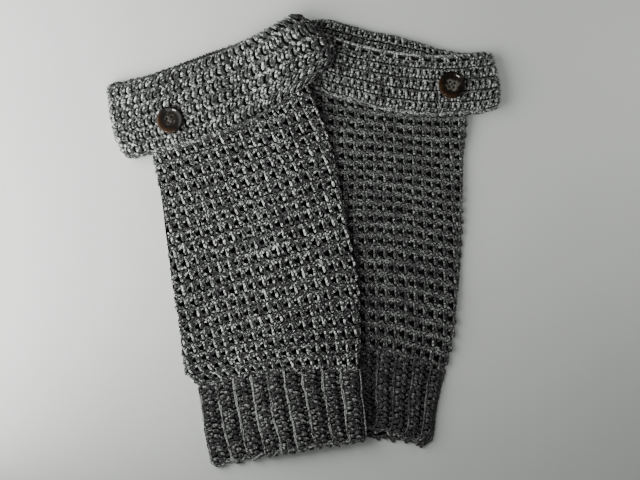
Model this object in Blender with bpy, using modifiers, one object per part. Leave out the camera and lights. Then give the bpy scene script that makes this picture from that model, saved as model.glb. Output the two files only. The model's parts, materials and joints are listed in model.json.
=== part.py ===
"""A pair of crocheted leg warmers laid flat, the left one partly on the right one.

Metres, +Z up. The tables and sizes below are in millimetres. The origin is under the middle of
the pair, on the surface that it lies on. +Y runs from the ankle cuffs to the top bands.

Each leg warmer is three closed rings of knitted wall, pressed flat: a ribbed cuff, a leg tube and
a turned-down top band. A row of a ring is a curve through its left end, middle and right end.
"""

import math
from collections import namedtuple

import bmesh
import bpy
import numpy as np

MM = 0.001
ORIGIN = (0.2, -0.7)  # middle of the pair's outline, in the tables' own coordinates

SEAM_GAP = 0.3  # between pieces that are worked together
LAYER_GAP = 0.7  # between the band and the tube that it hangs over
HOLLOW = 0.6  # between the front and the back of a ring that lies flat
TUBE_WALL = 2.6
BAND_WALL = 3.0
CUFF_WALL = 2.6

RIB_COUNT = 9  # on the front; the back lies on the table and is pressed flat
RIB_HEIGHT = 1.6
RIB_PLACES = (0.0, 0.25, 0.5, 0.75, 1.0)  # across one rib, from the left
RIB_SHAPE = (0.0, 0.9, 1.0, 0.7, 0.0)
RIDGE_COUNT = 6  # double rows of stitches, from the band's hem to its fold
RIDGE_HEIGHT = 0.5

TUBE_HEIGHT = 2 * TUBE_WALL + HOLLOW
CUFF_HEIGHT = 2 * CUFF_WALL + HOLLOW
BAND_LIFT = BAND_WALL + LAYER_GAP  # how far the band's back layer lifts the tube
BAND_HEIGHT = TUBE_HEIGHT + 2 * BAND_LIFT
LIFT_RAMP = 0.16  # share of the tube's length over which it comes down to the table
LIFT_END = 0.03  # share of the tube's length, below the hem, that is already lifted

BAND_DEPTH = 64.0  # from fold to hem, the mean of both bands
CUFF_DEPTH = 72.0
FOLD_RADIUS = (BAND_WALL + LAYER_GAP + TUBE_WALL) / 2
FOLD_CAP = FOLD_RADIUS + 2.0  # how deep the rolled fold is, from the top

CROSSING_GAP = 0.8  # between the left leg warmer and the right one under it
CROSSING_RAMP = 56.0  # width over which the left one climbs onto the right one
CROSSING_STEP = 50.0  # length over which it climbs from the right tube to the right band

BUTTON_RADIUS = 12.5
BUTTON_THICKNESS = 3.4
BUTTON_HOLE_RADIUS = 1.1
BUTTON_HOLE_RING = 3.1
BUTTON_DISH = 1.1  # how deep its middle is dished
BUTTON_RIM = 5.2  # width of the raised rim
BUTTON_STEPS = 28
LEFT_BUTTON = (-123.0, 110.0)
RIGHT_BUTTON = (135.0, 142.0)

LEFT_POINTS = 26  # across the front of the left leg warmer, which climbs onto the right one
RIGHT_POINTS = 14
CUFF_STEPS = 5  # along a cuff
FOLD_STEPS = 6  # round the rolled fold
TUBE_SHARES = (0.0, 0.12, 0.26, 0.4, 0.54, 0.68, 0.78, 0.86, 0.93, 1.0)

Row = namedtuple("Row", "share left middle back_middle right")
Hoop = namedtuple("Hoop", "share row height depth lift left_inset right_inset outer")

LEFT_BAND = (
    Row(0.00, (-162, 76), (-70, 100), (-70, 100), (11, 147)),
    Row(0.33, (-173, 97), (-78, 122), (-78, 122), (27, 165)),
    Row(0.66, (-177, 120), (-86, 145), (-86, 146), (22, 184)),
    Row(1.00, (-180, 144), (-93, 167), (-93, 171), (-5, 209)),
)
LEFT_TUBE = (
    Row(0.00, (-107, -136), (-27, -121), (-27, -121), (52, -119)),
    Row(0.25, (-115, -87), (-32, -72), (-32, -72), (51, -63)),
    Row(0.50, (-123, -37), (-39, -19), (-39, -19), (46, -9)),
    Row(0.75, (-130, 17), (-48, 37), (-48, 37), (34, 44)),
    Row(1.00, (-137, 74), (-67, 101), (-67, 101), (8, 142)),
)
LEFT_CUFF = (
    Row(0.00, (-88, -209), (-12, -194), (-12, -194), (57, -184)),
    Row(0.50, (-94, -173), (-20, -157), (-20, -157), (54, -151)),
    Row(1.00, (-100, -137.4), (-26, -121.4), (-26, -121.4), (51, -119.4)),
)
RIGHT_BAND = (
    Row(0.00, (-18, 153), (83, 118), (83, 118), (179, 121)),
    Row(0.33, (-22, 169), (82, 136), (81, 139), (180, 136)),
    Row(0.66, (-21, 186), (80, 155), (80, 162), (177, 155)),
    Row(1.00, (-14, 204), (79, 174), (79, 190), (171, 174)),
)
RIGHT_TUBE = (
    Row(0.00, (-19, -103), (58, -100), (58, -100), (133, -120)),
    Row(0.25, (-19, -46), (61, -41), (61, -41), (142, -55)),
    Row(0.50, (-17, 9), (64, 13), (64, 13), (145, 0)),
    Row(0.75, (-13, 69), (69, 67), (69, 67), (147, 57)),
    Row(1.00, (-9, 138), (75, 121), (75, 121), (150, 117)),
)
RIGHT_CUFF = (
    Row(0.00, (-13, -169), (53, -173), (53, -184), (111, -190)),
    Row(0.50, (-17, -138), (56, -138), (56, -144), (121, -157)),
    Row(1.00, (-18, -103.4), (58, -100.4), (58, -100.4), (130, -120.4)),
)

# Under its band a tube follows the band's rows, widening from the hem until it fills the fold.
HiddenRow = namedtuple("HiddenRow", "band_share left_inset right_inset")
TUBE_TOP = 1.0 - (FOLD_CAP + LAYER_GAP) / BAND_DEPTH
LEFT_HIDDEN = (
    HiddenRow(0.12, 24, 8),
    HiddenRow(0.30, 18, 9),
    HiddenRow(0.50, 9, 8),
    HiddenRow(0.70, 2, 4),
    HiddenRow(0.82, 0.5, 0.5),
    HiddenRow(TUBE_TOP, 0.2, 0.2),
)
RIGHT_HIDDEN = (
    HiddenRow(0.12, 17, 28),
    HiddenRow(0.30, 13, 22),
    HiddenRow(0.50, 7, 12),
    HiddenRow(0.70, 2, 3),
    HiddenRow(0.82, 0.5, 0.5),
    HiddenRow(TUBE_TOP, 0.2, 0.2),
)

WOOL = (0.105, 0.11, 0.105, 1.0)
HORN = (0.035, 0.018, 0.01, 1.0)


def smooth_step(value):
    value = min(max(value, 0.0), 1.0)
    return value * value * (3.0 - 2.0 * value)


def row_at(rows, share):
    """The row at any share of the length, on smooth curves through the table's rows."""
    shares = np.array([row.share for row in rows])
    points = np.array([row[1:] for row in rows], float)
    slopes = np.gradient(points, shares, axis=0)
    share = min(max(share, shares[0]), shares[-1])
    i = min(int(np.searchsorted(shares, share, side="right")) - 1, len(rows) - 2)
    step = shares[i + 1] - shares[i]
    t = (share - shares[i]) / step
    curve = (
        (2 * t**3 - 3 * t**2 + 1) * points[i]
        + (t**3 - 2 * t**2 + t) * step * slopes[i]
        + (3 * t**2 - 2 * t**3) * points[i + 1]
        + (t**3 - t**2) * step * slopes[i + 1]
    )
    return Row(share, *curve)


def point_on_row(row, along, front):
    """A point of the row: along runs 0 to 1, and front is 1 on the front layer, 0 on the back."""
    left, middle, back_middle, right = (np.array(point) for point in row[1:])
    bow = 4 * along * (1 - along)
    return (
        left * (1 - along) * (1 - 2 * along)
        + middle * bow
        + right * along * (2 * along - 1)
        + (back_middle - middle) * (1 - front) * bow * bow
    )


def row_width(row):
    left, middle, right = (np.array(p) for p in (row.left, row.middle, row.right))
    return np.linalg.norm(middle - left) + np.linalg.norm(right - middle)


def lift_under_band(share):
    """How far the band's back layer lifts the tube at this share of its length."""
    return BAND_LIFT * smooth_step((share - (1 - LIFT_END - LIFT_RAMP)) / LIFT_RAMP)


def edge_curve(pieces, side):
    """The named edge of a leg warmer from hem to fold, as arrays of x over rising y."""
    points = []
    for rows in pieces:
        points += [getattr(row_at(rows, share), side) for share in np.linspace(0, 1, 9)]
    points = np.array(sorted((tuple(p) for p in points), key=lambda p: p[1]))
    return points[:, 1], points[:, 0]


RIGHT_EDGE = edge_curve((RIGHT_CUFF, RIGHT_TUBE, RIGHT_BAND), "left")
RIGHT_HEM = np.array([point_on_row(RIGHT_BAND[0], along, 1) for along in np.linspace(0, 1, 5)]).T


def crossing_height(x, y):
    """How high the left leg warmer lies where it crosses the right one."""
    over = smooth_step((x - np.interp(y, *RIGHT_EDGE) + CROSSING_RAMP) / CROSSING_RAMP)
    near_band = smooth_step((y - np.interp(x, *RIGHT_HEM)) / CROSSING_STEP + 1)
    low = CUFF_HEIGHT + RIB_HEIGHT + CROSSING_GAP
    high = BAND_HEIGHT + RIDGE_HEIGHT + CROSSING_GAP
    return over * (low + (high - low) * near_band)


def flat_on_table(x, y):
    return 0.0


def around_ring(front, flat_points, arc_points=4):
    """(along the flat part, angle) of each point round a ring pressed flat, from the front's left."""
    ring = [(along, math.pi / 2) for along in front]
    for i in range(1, arc_points):
        ring.append((1.0, math.pi / 2 - math.pi * i / arc_points))
    ring += [(1 - i / flat_points, -math.pi / 2) for i in range(flat_points + 1)]
    for i in range(1, arc_points):
        ring.append((0.0, -math.pi / 2 - math.pi * i / arc_points))
    return ring


def plain_ring(flat_points):
    return around_ring([i / flat_points for i in range(flat_points + 1)], flat_points)


def hoop_points(hoop, ring, ground, relief):
    """The points of one closed line of the wall, in the tables' coordinates."""
    width = row_width(hoop.row)
    radius = hoop.height / 2
    start = radius + hoop.left_inset
    flat_width = width - 2 * radius - hoop.left_inset - hoop.right_inset
    for flat, angle in ring:
        reach = radius - hoop.depth
        if relief and hoop.outer:
            reach += relief(hoop.share, flat) * max(math.sin(angle), 0.0)
        along = (start + flat * flat_width + reach * math.cos(angle)) / width
        x, y = point_on_row(hoop.row, along, (1 + math.sin(angle)) / 2)
        yield x, y, ground(x, y) + hoop.lift + radius + reach * math.sin(angle)


def ring_wall(name, hoops, ring, ground, relief=None):
    """A closed wall: the hoops go up its outer side and down its inner side."""
    shape = bmesh.new()
    grid = []
    for hoop in hoops:
        places = hoop_points(hoop, ring, ground, relief)
        centred = [((x - ORIGIN[0]) * MM, (y - ORIGIN[1]) * MM, z * MM) for x, y, z in places]
        grid.append([shape.verts.new(place) for place in centred])
    for i, loop in enumerate(grid):
        above = grid[(i + 1) % len(grid)]
        for j in range(len(ring)):
            k = (j + 1) % len(ring)
            shape.faces.new((loop[j], loop[k], above[k], above[j]))
    bmesh.ops.recalc_face_normals(shape, faces=shape.faces)
    return add_object(name, shape)


def add_object(name, shape):
    mesh = bpy.data.meshes.new(name)
    shape.to_mesh(mesh)
    shape.free()
    mesh.shade_smooth()
    mesh.set_sharp_from_angle(angle=math.radians(50))
    obj = bpy.data.objects.new(name, mesh)
    bpy.data.collections["Leg warmers"].objects.link(obj)
    return obj


def add_material(obj, colour, roughness):
    material = bpy.data.materials.new(obj.name + "_material")
    material.use_nodes = True
    shader = material.node_tree.nodes["Principled BSDF"]
    shader.inputs["Base Color"].default_value = colour
    shader.inputs["Roughness"].default_value = roughness
    shader.inputs["Metallic"].default_value = 0.0
    obj.data.materials.append(material)


def rib_relief(share, along):
    """A rib is steep on its left side and slopes off on its right."""
    place = along * RIB_COUNT % 1.0
    return RIB_HEIGHT * np.interp(place, RIB_PLACES, RIB_SHAPE)


def ridge_relief(share, along):
    return RIDGE_HEIGHT * 0.5 * (1 - math.cos(2 * math.pi * RIDGE_COUNT * share))


def hoop_at(rows, share, height, depth, lift=0.0, left_inset=0.0, right_inset=0.0):
    row = row_at(rows, share)
    return Hoop(share, row, height, depth, lift, left_inset, right_inset, depth < FOLD_RADIUS / 2)


def make_cuff(name, rows, flat_points, ground):
    """Raised ribs on the front, over a plain inside; the back lies flat on the table."""
    top = 1.0 - SEAM_GAP / CUFF_DEPTH
    shares = [top * i / CUFF_STEPS for i in range(CUFF_STEPS + 1)]
    hoops = [hoop_at(rows, share, CUFF_HEIGHT, 0.0) for share in shares]
    hoops += [hoop_at(rows, share, CUFF_HEIGHT, CUFF_WALL) for share in reversed(shares)]
    front = [(i + place) / RIB_COUNT for i in range(RIB_COUNT) for place in RIB_PLACES[:-1]]
    return ring_wall(name, hoops, around_ring(front + [1.0], flat_points), ground, rib_relief)


def make_tube(name, rows, band, hidden, flat_points, ground):
    """The tube is lifted by the band's back layer, and its top edge ends under the band's fold."""

    def hoops(depth):
        found = []
        for share in TUBE_SHARES:
            found.append(hoop_at(rows, share, TUBE_HEIGHT, depth, lift_under_band(share)))
        for row in hidden:
            inset = (row.left_inset, row.right_inset)
            reach = BAND_LIFT + depth
            found.append(hoop_at(band, row.band_share, BAND_HEIGHT, reach, 0.0, *inset))
        return found

    outer, inner = hoops(0.0), hoops(TUBE_WALL)
    return ring_wall(name, outer + inner[::-1], plain_ring(flat_points), ground)


def make_band(name, rows, hidden, flat_points, ground):
    """The flap hangs outside the tube, and its rolled fold caps the tube's top edge."""
    start = 1.0 - FOLD_RADIUS / BAND_DEPTH
    cap = 1.0 - FOLD_CAP / BAND_DEPTH
    steps = 2 * RIDGE_COUNT
    profile = [(start * i / steps, 0.0) for i in range(steps)]
    for i in range(FOLD_STEPS + 1):
        turn = math.pi * i / FOLD_STEPS
        rise = FOLD_RADIUS * math.sin(turn) / BAND_DEPTH
        profile.append((start + rise, FOLD_RADIUS * (1 - math.cos(turn))))
    profile.append((cap, 2 * FOLD_RADIUS))
    inner = (cap, *(row.band_share for row in hidden[-2::-1]), 0.0)
    profile += [(share, BAND_WALL) for share in inner]
    hoops = [hoop_at(rows, share, BAND_HEIGHT, depth) for share, depth in profile]
    return ring_wall(name, hoops, plain_ring(flat_points), ground, ridge_relief)


def make_button(name, place, turn):
    """A turned disc with a raised rim, sewn on through four holes."""
    top, rim, dish = BUTTON_THICKNESS, BUTTON_RADIUS, BUTTON_THICKNESS - BUTTON_DISH
    profile = (
        (0.0, dish),
        (rim - BUTTON_RIM, dish),
        (rim - 3.4, top - 0.2),
        (rim - 2.0, top),
        (rim - 0.6, top - 0.5),
        (rim, top - 1.4),
        (rim - 0.5, 1.0),
        (rim - 3.0, 0.0),
        (0.0, 0.0),
    )
    mesh = bpy.data.meshes.new(name)
    points = [(r * MM, 0.0, z * MM) for r, z in profile]
    mesh.from_pydata(points, [(i, i + 1) for i in range(len(points) - 1)], [])
    button = bpy.data.objects.new(name, mesh)
    bpy.data.collections["Leg warmers"].objects.link(button)
    turned = button.modifiers.new("Turned", "SCREW")
    turned.steps = turned.render_steps = BUTTON_STEPS
    turned.use_merge_vertices = True
    turned.merge_threshold = 0.00001
    for i in range(4):
        angle = math.radians(45 + 90 * i)
        hole = make_hole_cutter(name, i, angle)
        hole.parent = button
        cut = button.modifiers.new(f"Hole {i + 1}", "BOOLEAN")
        cut.object = hole
    button.location = (
        (place[0] - ORIGIN[0]) * MM,
        (place[1] - ORIGIN[1]) * MM,
        (BAND_HEIGHT + RIDGE_HEIGHT + SEAM_GAP) * MM,
    )
    button.rotation_euler.z = math.radians(turn)
    return button


def make_hole_cutter(name, number, angle):
    shape = bmesh.new()
    bmesh.ops.create_cone(
        shape,
        cap_ends=True,
        segments=10,
        radius1=BUTTON_HOLE_RADIUS * MM,
        radius2=BUTTON_HOLE_RADIUS * MM,
        depth=3 * BUTTON_THICKNESS * MM,
    )
    mesh = bpy.data.meshes.new(f"{name}_hole_{number + 1}")
    shape.to_mesh(mesh)
    shape.free()
    cutter = bpy.data.objects.new(mesh.name, mesh)
    cutter.location = (
        BUTTON_HOLE_RING * math.cos(angle) * MM,
        BUTTON_HOLE_RING * math.sin(angle) * MM,
        BUTTON_THICKNESS / 2 * MM,
    )
    cutter.hide_render = True
    cutter.display_type = "WIRE"
    bpy.data.collections["Cutters"].objects.link(cutter)
    return cutter


def clear_scene():
    for obj in list(bpy.data.objects):
        bpy.data.objects.remove(obj, do_unlink=True)
    for name in ("Leg warmers", "Cutters"):
        collection = bpy.data.collections.new(name)
        bpy.context.scene.collection.children.link(collection)


def main():
    clear_scene()
    left = (LEFT_POINTS, crossing_height)
    right = (RIGHT_POINTS, flat_on_table)
    wool = [
        make_cuff("left_rib_cuff", LEFT_CUFF, *left),
        make_tube("left_leg_tube", LEFT_TUBE, LEFT_BAND, LEFT_HIDDEN, *left),
        make_band("left_top_band", LEFT_BAND, LEFT_HIDDEN, *left),
        make_cuff("right_rib_cuff", RIGHT_CUFF, *right),
        make_tube("right_leg_tube", RIGHT_TUBE, RIGHT_BAND, RIGHT_HIDDEN, *right),
        make_band("right_top_band", RIGHT_BAND, RIGHT_HIDDEN, *right),
    ]
    for piece in wool:
        add_material(piece, WOOL, 0.95)
    for name, place, turn in (
        ("left_button", LEFT_BUTTON, 20),
        ("right_button", RIGHT_BUTTON, -12),
    ):
        add_material(make_button(name, place, turn), HORN, 0.3)


main()
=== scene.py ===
"""The looks of a pair of crocheted leg warmers that lie flat, seen from straight above.

Every strand of wool is a swept tube. A stitch is made once in flat cloth coordinates, in
millimetres, and then repeated over the pressed rings of cloth that the CAD part has.
"""

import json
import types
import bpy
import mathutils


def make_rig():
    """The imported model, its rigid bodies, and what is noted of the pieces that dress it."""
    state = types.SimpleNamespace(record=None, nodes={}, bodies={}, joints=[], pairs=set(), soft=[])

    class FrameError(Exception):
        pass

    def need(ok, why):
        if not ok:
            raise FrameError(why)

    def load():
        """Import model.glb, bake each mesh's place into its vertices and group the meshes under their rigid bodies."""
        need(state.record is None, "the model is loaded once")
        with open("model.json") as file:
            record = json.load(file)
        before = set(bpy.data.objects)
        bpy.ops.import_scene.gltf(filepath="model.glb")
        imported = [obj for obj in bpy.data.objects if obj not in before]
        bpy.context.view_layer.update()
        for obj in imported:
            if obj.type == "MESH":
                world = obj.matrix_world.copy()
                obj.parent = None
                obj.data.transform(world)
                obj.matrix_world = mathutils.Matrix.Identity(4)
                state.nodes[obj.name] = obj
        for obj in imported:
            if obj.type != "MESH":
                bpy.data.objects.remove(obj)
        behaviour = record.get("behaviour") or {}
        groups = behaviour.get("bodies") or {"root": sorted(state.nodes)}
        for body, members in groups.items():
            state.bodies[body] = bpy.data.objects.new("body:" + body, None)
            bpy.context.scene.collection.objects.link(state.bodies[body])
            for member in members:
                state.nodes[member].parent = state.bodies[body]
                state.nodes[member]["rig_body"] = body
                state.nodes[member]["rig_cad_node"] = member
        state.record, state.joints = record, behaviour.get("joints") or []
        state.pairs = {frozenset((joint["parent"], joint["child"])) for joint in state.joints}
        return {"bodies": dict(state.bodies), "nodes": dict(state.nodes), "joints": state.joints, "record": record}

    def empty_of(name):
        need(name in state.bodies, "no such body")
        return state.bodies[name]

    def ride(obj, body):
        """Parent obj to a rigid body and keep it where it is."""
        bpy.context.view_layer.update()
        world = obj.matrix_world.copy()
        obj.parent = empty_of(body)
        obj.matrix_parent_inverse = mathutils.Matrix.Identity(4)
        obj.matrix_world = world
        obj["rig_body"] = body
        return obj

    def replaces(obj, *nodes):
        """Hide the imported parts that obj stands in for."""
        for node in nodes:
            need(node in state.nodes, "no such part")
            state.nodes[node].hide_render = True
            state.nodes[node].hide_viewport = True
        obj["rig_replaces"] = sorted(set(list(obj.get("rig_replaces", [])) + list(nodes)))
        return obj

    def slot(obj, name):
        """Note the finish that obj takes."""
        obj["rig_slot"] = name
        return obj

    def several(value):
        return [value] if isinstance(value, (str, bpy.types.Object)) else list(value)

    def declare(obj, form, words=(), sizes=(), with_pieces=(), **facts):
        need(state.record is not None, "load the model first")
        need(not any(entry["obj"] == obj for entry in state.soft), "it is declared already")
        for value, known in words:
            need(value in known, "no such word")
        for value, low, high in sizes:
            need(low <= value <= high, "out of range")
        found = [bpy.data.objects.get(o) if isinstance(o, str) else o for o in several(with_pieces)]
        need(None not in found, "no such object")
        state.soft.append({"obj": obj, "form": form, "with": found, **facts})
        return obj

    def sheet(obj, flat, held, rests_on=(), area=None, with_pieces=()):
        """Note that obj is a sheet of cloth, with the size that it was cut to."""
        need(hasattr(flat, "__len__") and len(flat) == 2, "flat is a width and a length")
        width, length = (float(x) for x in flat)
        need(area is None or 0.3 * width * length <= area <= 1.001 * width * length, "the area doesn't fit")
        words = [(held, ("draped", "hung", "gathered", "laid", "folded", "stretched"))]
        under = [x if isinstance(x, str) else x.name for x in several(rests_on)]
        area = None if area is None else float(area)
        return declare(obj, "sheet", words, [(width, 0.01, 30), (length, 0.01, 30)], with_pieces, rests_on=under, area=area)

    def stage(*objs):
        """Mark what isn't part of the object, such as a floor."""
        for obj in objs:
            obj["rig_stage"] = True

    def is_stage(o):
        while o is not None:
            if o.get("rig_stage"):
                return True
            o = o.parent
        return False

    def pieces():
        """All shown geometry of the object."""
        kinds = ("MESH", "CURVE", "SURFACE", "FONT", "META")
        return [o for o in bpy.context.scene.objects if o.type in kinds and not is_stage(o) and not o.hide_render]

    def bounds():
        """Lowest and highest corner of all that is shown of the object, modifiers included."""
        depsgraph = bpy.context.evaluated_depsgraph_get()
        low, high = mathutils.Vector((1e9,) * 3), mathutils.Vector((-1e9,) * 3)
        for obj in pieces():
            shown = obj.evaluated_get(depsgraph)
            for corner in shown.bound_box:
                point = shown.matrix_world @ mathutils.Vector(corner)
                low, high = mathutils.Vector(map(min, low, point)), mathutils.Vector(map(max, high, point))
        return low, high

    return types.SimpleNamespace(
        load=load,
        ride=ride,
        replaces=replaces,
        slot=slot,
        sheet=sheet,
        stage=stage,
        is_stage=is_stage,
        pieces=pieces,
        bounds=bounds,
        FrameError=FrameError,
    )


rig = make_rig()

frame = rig.load()

import json
from collections import namedtuple
from math import cos, pi, radians, sin
from types import SimpleNamespace

import bmesh
import bpy
import numpy as np
from mathutils import Vector

CAD_LOW, CAD_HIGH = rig.bounds()

MM = 0.001
ORIGIN = (0.2, -0.7)
PIXEL = 0.92  # millimetres of cloth that one pixel of the photo shows

# The part's own heights and walls
TUBE_WALL, BAND_WALL, CUFF_WALL = 2.6, 3.0, 2.6
HOLLOW, LAYER_GAP, SEAM_GAP = 0.6, 0.7, 0.3
TUBE_HEIGHT = 2 * TUBE_WALL + HOLLOW
CUFF_HEIGHT = 2 * CUFF_WALL + HOLLOW
BAND_LIFT = BAND_WALL + LAYER_GAP
BAND_HEIGHT = TUBE_HEIGHT + 2 * BAND_LIFT
FOLD_RADIUS = (BAND_WALL + LAYER_GAP + TUBE_WALL) / 2
BAND_DEPTH, CUFF_DEPTH = 64.0, 72.0
RIB_HEIGHT, RIDGE_HEIGHT = 1.6, 0.5
LIFT_RAMP, LIFT_END = 36.0, 7.0
CROSSING_GAP, CROSSING_RAMP, CROSSING_STEP = 0.8, 56.0, 50.0
BUTTON_LOW = BAND_HEIGHT + RIDGE_HEIGHT + SEAM_GAP

# How the cloth departs from its plain form, in millimetres but for the swell, which is a share
SWELL, WANDER, LEAST_HEIGHT = 0.05, 0.5, 0.08
YARN_DEPTH = 2.2  # how far the foot of the stitches lies below the outer side

# The middle of a row's back is that of its front, unless it is given as the last point.
Row = namedtuple("Row", "share left middle right back_middle", defaults=(None,))

LEFT_BAND = (
    Row(0, (-162, 76), (-70, 100), (11, 147)),
    Row(0.33, (-173, 97), (-78, 122), (27, 165)),
    Row(0.66, (-177, 120), (-86, 145), (22, 184), (-86, 146)),
    Row(1, (-180, 144), (-93, 167), (-5, 209), (-93, 171)),
)
LEFT_TUBE = (
    Row(0, (-107, -136), (-27, -121), (52, -119)),
    Row(0.25, (-115, -87), (-32, -72), (51, -63)),
    Row(0.5, (-123, -37), (-39, -19), (46, -9)),
    Row(0.75, (-130, 17), (-48, 37), (34, 44)),
    Row(1, (-137, 74), (-67, 101), (8, 142)),
)
LEFT_CUFF = (
    Row(0, (-88, -209), (-12, -194), (57, -184)),
    Row(0.5, (-94, -173), (-20, -157), (54, -151)),
    Row(1, (-100, -137.4), (-26, -121.4), (51, -119.4)),
)
RIGHT_BAND = (
    Row(0, (-18, 153), (83, 118), (179, 121)),
    Row(0.33, (-22, 169), (82, 136), (180, 136), (81, 139)),
    Row(0.66, (-21, 186), (80, 155), (177, 155), (80, 162)),
    Row(1, (-14, 204), (79, 174), (171, 174), (79, 190)),
)
RIGHT_TUBE = (
    Row(0, (-19, -103), (58, -100), (133, -120)),
    Row(0.25, (-19, -46), (61, -41), (142, -55)),
    Row(0.5, (-17, 9), (64, 13), (145, 0)),
    Row(0.75, (-13, 69), (69, 67), (147, 57)),
    Row(1, (-9, 138), (75, 121), (150, 117)),
)
RIGHT_CUFF = (
    Row(0, (-13, -169), (53, -173), (111, -190), (53, -184)),
    Row(0.5, (-17, -138), (56, -138), (121, -157), (56, -144)),
    Row(1, (-18, -103.4), (58, -100.4), (130, -120.4)),
)

# How the stitch rows of the legs run. The share counts rows of stitches from the ribs up.
LEFT_ROWS = (
    Row(0.0, (-107, -136), (-27, -121), (52, -117)),
    Row(4.2, (-112, -97), (-31, -77), (51, -63)),
    Row(12.2, (-124, -5), (-45, 17), (35, 40)),
    Row(19.2, (-136, 70), (-64, 92), (15, 114)),
    Row(22.0, (-143, 97), (-72, 120), (4, 144)),
)
RIGHT_ROWS = (
    *(row._replace(share=count) for row, count in zip(RIGHT_TUBE, (0.0, 5.0, 9.8, 15.6, 21.6))),
    Row(23.0, (-8, 152), (76, 133), (151, 129)),
)


def smooth_step(value):
    value = np.clip(value, 0.0, 1.0)
    return value * value * (3.0 - 2.0 * value)


def soft_curve(t, i, step, points, slopes):
    """Points a share t of the way from each point i to the next one, on a cubic curve."""
    return (
        (2 * t**3 - 3 * t**2 + 1) * points[i]
        + (t**3 - 2 * t**2 + t) * step * slopes[i]
        + (3 * t**2 - 2 * t**3) * points[i + 1]
        + (t**3 - t**2) * step * slopes[i + 1]
    )


class RowTable:
    """Smooth curves through a table's rows, read at any share of the length."""

    def __init__(self, rows):
        shares = np.array([row.share for row in rows], float)
        points = [(*r.left, *r.middle, *(r.back_middle or r.middle), *r.right) for r in rows]
        points = np.array(points, float)
        slopes = np.gradient(points, shares, axis=0)
        fine = np.linspace(shares[0], shares[-1], 240)
        i = np.clip(np.searchsorted(shares, fine, side="right") - 1, 0, len(rows) - 2)
        step = (shares[i + 1] - shares[i])[:, None]
        t = (fine[:, None] - shares[i][:, None]) / step
        curve = soft_curve(t, i, step, points, slopes)
        reach = 0.2 * (shares[-1] - shares[0])
        first = curve[:1] - slopes[:1] * reach
        last = curve[-1:] + slopes[-1:] * reach
        self.shares = np.concatenate(([fine[0] - reach], fine, [fine[-1] + reach]))
        self.curve = np.concatenate((first, curve, last))

    def at(self, share):
        """The left, middle, back middle and right point of the row at each share."""
        share = np.asarray(share, float)
        columns = [np.interp(share, self.shares, self.curve[:, k]) for k in range(8)]
        return [np.stack(columns[k : k + 2], -1) for k in (0, 2, 4, 6)]


def edge_curve(pieces, point):
    """An edge of a leg warmer from hem to fold, as x over rising y."""
    found = np.concatenate([RowTable(rows).at(np.linspace(0, 1, 9))[point] for rows in pieces])
    found = found[np.argsort(found[:, 1])]
    return found[:, 1], found[:, 0]


def hem_curve(rows):
    """The front hem of a band, as y over rising x."""
    left, middle, _, right = RowTable(rows).at(np.zeros(9))
    a = np.linspace(0, 1, 9)[:, None]
    points = left * (1 - a) * (1 - 2 * a) + middle * 4 * a * (1 - a) + right * a * (2 * a - 1)
    return points[:, 0], points[:, 1]


RIGHT_EDGE = edge_curve((RIGHT_CUFF, RIGHT_TUBE, RIGHT_BAND), 0)
LEFT_HEM, RIGHT_HEM = hem_curve(LEFT_BAND), hem_curve(RIGHT_BAND)


def on_table(x, y):
    return np.zeros_like(x)


def on_right_one(x, y):
    """How high the left leg warmer lies where it crosses the right one."""
    over = smooth_step((x - np.interp(y, *RIGHT_EDGE) + CROSSING_RAMP) / CROSSING_RAMP)
    near_band = smooth_step((y - np.interp(x, *RIGHT_HEM)) / CROSSING_STEP + 1)
    low = CUFF_HEIGHT + RIB_HEIGHT + CROSSING_GAP
    high = BAND_HEIGHT + RIDGE_HEIGHT + CROSSING_GAP
    return over * (low + (high - low) * near_band)


def lift_below(hem):
    """The band's back layer lifts the tube above the table near its hem."""

    def lift(x, y):
        below = np.interp(x, *hem) - y
        return BAND_LIFT * smooth_step((LIFT_END + LIFT_RAMP - below) / LIFT_RAMP)

    return lift


def own_back(along):
    """The back of a row follows its own back middle, and meets the front at both ends."""
    bow = 4 * along * (1 - along)
    return bow * bow


def right_back(along):
    """How much of the back of the right band shows behind its front, from its left to its right."""
    return smooth_step(along / 0.22) * smooth_step((0.97 - along) / 0.5)


def closer_back(along):
    """The back of the right cuff lies close below its front."""
    return 0.7 * own_back(along)


def value_noise(u, v, seed):
    """Smooth noise from -1 to 1, one value for each whole step of u and v."""
    table = np.random.default_rng(seed).uniform(-1, 1, (64, 64))
    i, j = np.floor(u).astype(int), np.floor(v).astype(int)
    s, t = smooth_step(u - i), smooth_step(v - j)
    i0, i1, j0, j1 = i % 64, (i + 1) % 64, j % 64, (j + 1) % 64
    low = table[i0, j0] * (1 - s) + table[i1, j0] * s
    high = table[i0, j1] * (1 - s) + table[i1, j1] * s
    return low * (1 - t) + high * t


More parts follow.
